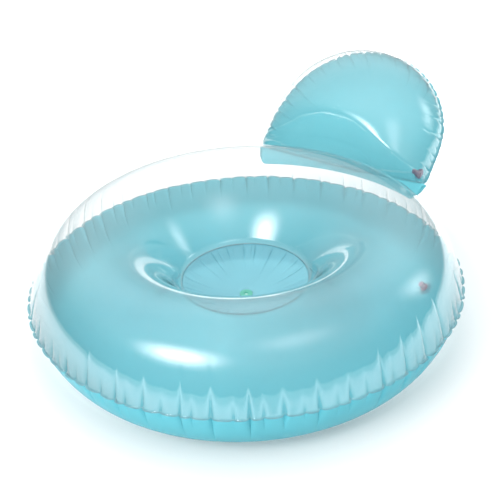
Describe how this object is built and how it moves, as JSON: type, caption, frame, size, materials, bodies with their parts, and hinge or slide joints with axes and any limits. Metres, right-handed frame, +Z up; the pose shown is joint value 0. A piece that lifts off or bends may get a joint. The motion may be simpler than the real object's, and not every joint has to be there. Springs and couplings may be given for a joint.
{
  "type": "inflatable pool float",
  "caption": "Inflatable ring float with a seat hole, a slack seat floor and a round pillow back on a flexible hinge strip; clear vinyl over blue.",
  "frame": {"origin": "on the ground under the middle of the whole float's bounding box; the ring's own axis is 110 mm in front of it", "axes": "+Z up; +Y from the ring towards the pillow back; +X to the right when facing the pillow from the front"},
  "size_m": [0.908, 1.1279, 0.4259],
  "materials": {
    "clear_vinyl": "clear glossy film",
    "blue_vinyl": "transparent tinted glossy film",
    "green_plastic": "smooth moulded",
    "valve_vinyl": "soft moulded, slightly translucent"
  },
  "bodies": {
    "ring": {"ring_top_sheet": "clear_vinyl", "ring_bottom_sheet": "blue_vinyl", "seat_floor_sheet": "blue_vinyl", "drain_grommet": "green_plastic", "drain_washer": "green_plastic", "pillow_hinge_strip": "blue_vinyl", "ring_valve_flange": "valve_vinyl"},
    "pillow": {"pillow_front_sheet": "clear_vinyl", "pillow_rear_sheet": "blue_vinyl", "pillow_valve_flange": "valve_vinyl"},
    "ring_valve_stem": {"ring_valve_stem": "valve_vinyl", "ring_valve_tether": "valve_vinyl"},
    "ring_valve_flap": {"ring_valve_flap": "valve_vinyl"},
    "ring_valve_cap": {"ring_valve_cap": "valve_vinyl"},
    "pillow_valve_stem": {"pillow_valve_stem": "valve_vinyl", "pillow_valve_tether": "valve_vinyl"},
    "pillow_valve_flap": {"pillow_valve_flap": "valve_vinyl"},
    "pillow_valve_cap": {"pillow_valve_cap": "valve_vinyl"}
  },
  "joints": [
    {"name": "pillow_hinge", "type": "hinge", "parent": "ring", "child": "pillow", "pos_m": [0, 0.336, 0.183], "axis": [-1, 0, 0], "range_deg": [0, 45]},
    {"name": "ring_valve_draw", "type": "slide", "parent": "ring", "child": "ring_valve_stem", "axis": [0.4615, 0.4303, -0.7758], "range_m": [0, 0.0095]},
    {"name": "ring_valve_cap_pull", "type": "slide", "parent": "ring_valve_stem", "child": "ring_valve_cap", "axis": [0.4615, 0.4303, -0.7758], "range_m": [0, 0.008]},
    {"name": "ring_valve_flap_hinge", "type": "hinge", "parent": "ring_valve_stem", "child": "ring_valve_flap", "pos_m": [0.28932, 0.15979, 0.04504], "axis": [-0.682, 0.7314, 0], "range_deg": [0, 60], "stiffness_Nm_per_rad": 0.0001},
    {"name": "pillow_valve_draw", "type": "slide", "parent": "pillow", "child": "pillow_valve_stem", "axis": [0.5888, 0.527, -0.6129], "range_m": [0, 0.0095]},
    {"name": "pillow_valve_cap_pull", "type": "slide", "parent": "pillow_valve_stem", "child": "pillow_valve_cap", "axis": [0.5888, 0.527, -0.6129], "range_m": [0, 0.008]},
    {"name": "pillow_valve_flap_hinge", "type": "hinge", "parent": "pillow_valve_stem", "child": "pillow_valve_flap", "pos_m": [0.15549, 0.40466, 0.18007], "axis": [-0.6669, 0.7452, 0], "range_deg": [0, 60], "stiffness_Nm_per_rad": 0.0001}
  ]
}
